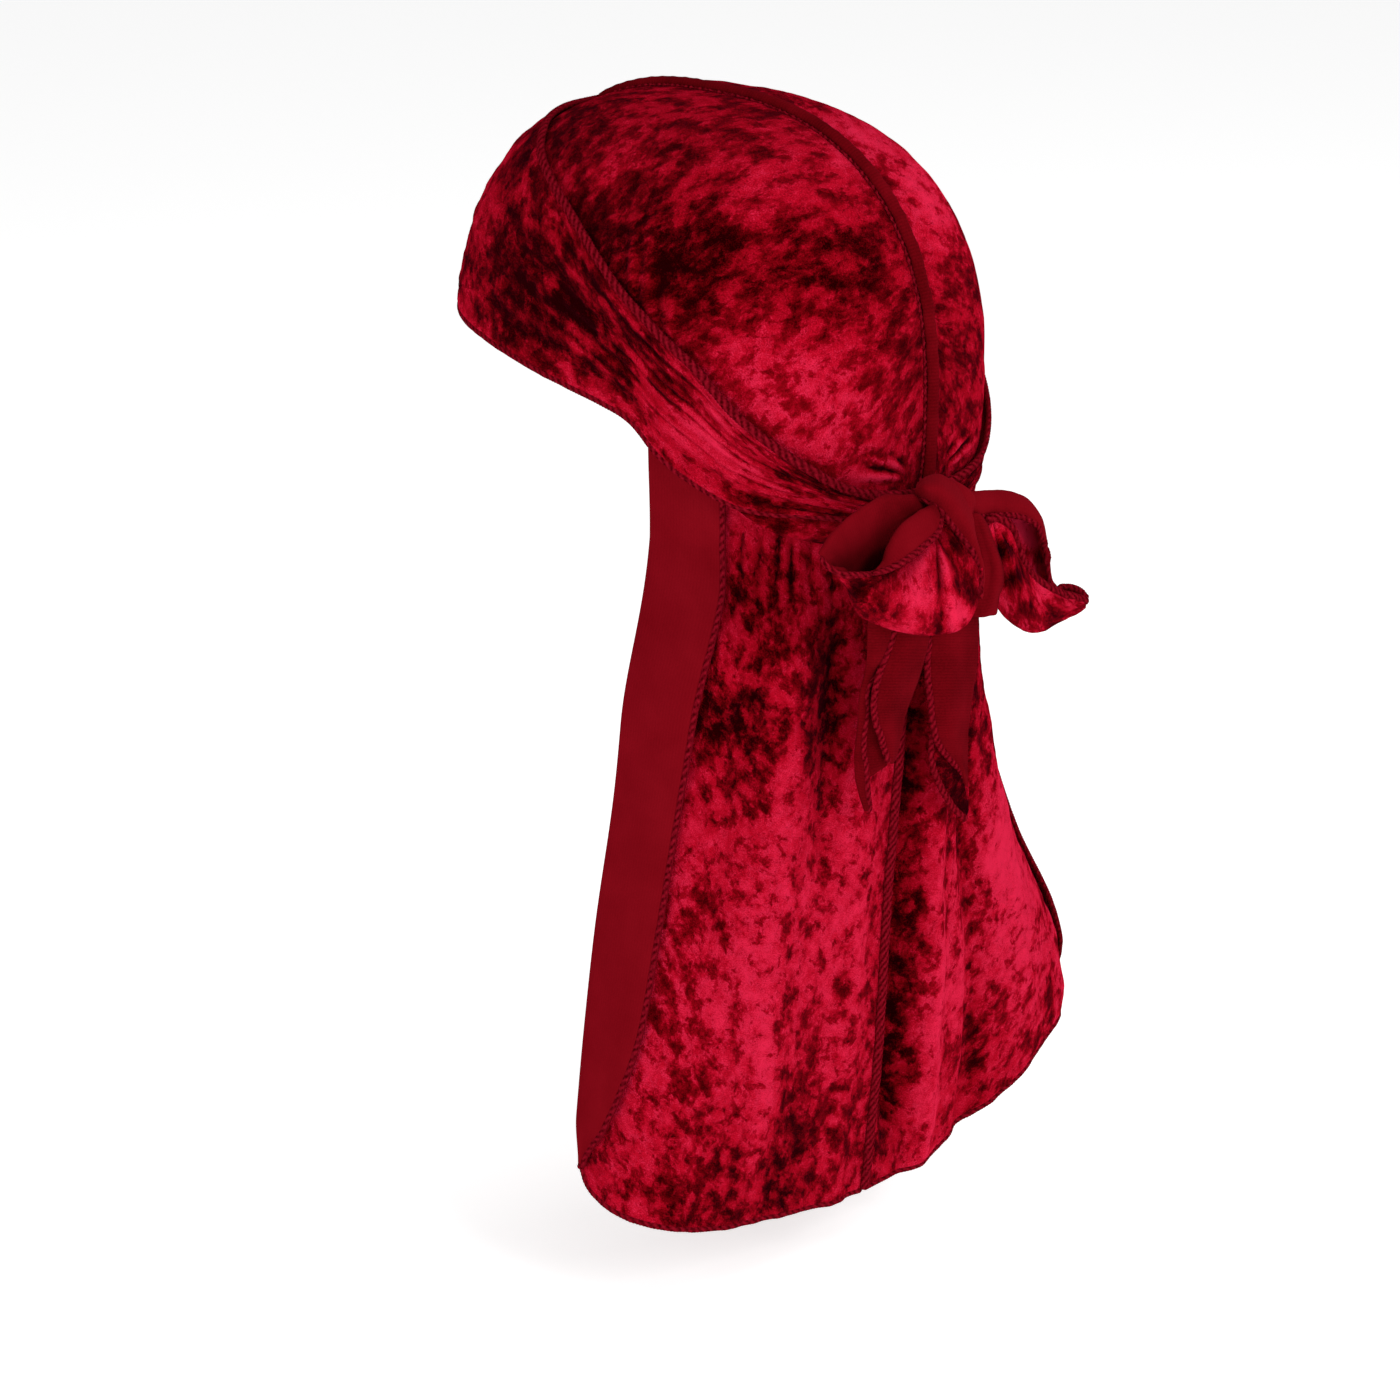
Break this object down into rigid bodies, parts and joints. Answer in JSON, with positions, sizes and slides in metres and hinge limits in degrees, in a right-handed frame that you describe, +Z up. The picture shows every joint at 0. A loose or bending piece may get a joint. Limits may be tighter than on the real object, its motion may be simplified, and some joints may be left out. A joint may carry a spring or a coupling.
{
  "type": "tied durag",
  "caption": "Crushed-velvet durag in its worn form, with a creased wrap, a centre seam, a bow tied at the nape and a long cape with its margins folded out.",
  "frame": {"origin": "in the middle of the head hollow, at the level where the head is widest, where a head seats it", "axes": "+Z up towards the crown, -Y towards the brow, +Y towards the knot, +X towards the wearer's left"},
  "size_m": [0.2604, 0.244, 0.4341],
  "materials": {
    "velvet": "crushed velvet",
    "jersey": "matte knit reverse",
    "overlock": "overlocked thread"
  },
  "bodies": {
    "root": {"crown_left": "velvet", "crown_right": "velvet", "crown_seam": "overlock", "head_band": "velvet", "cape_left": "velvet", "cape_right": "velvet", "cape_seam": "overlock", "knot": "jersey", "loop_left": "jersey", "loop_right": "jersey", "tail_left": "jersey", "tail_right": "jersey"}
  },
  "joints": []
}
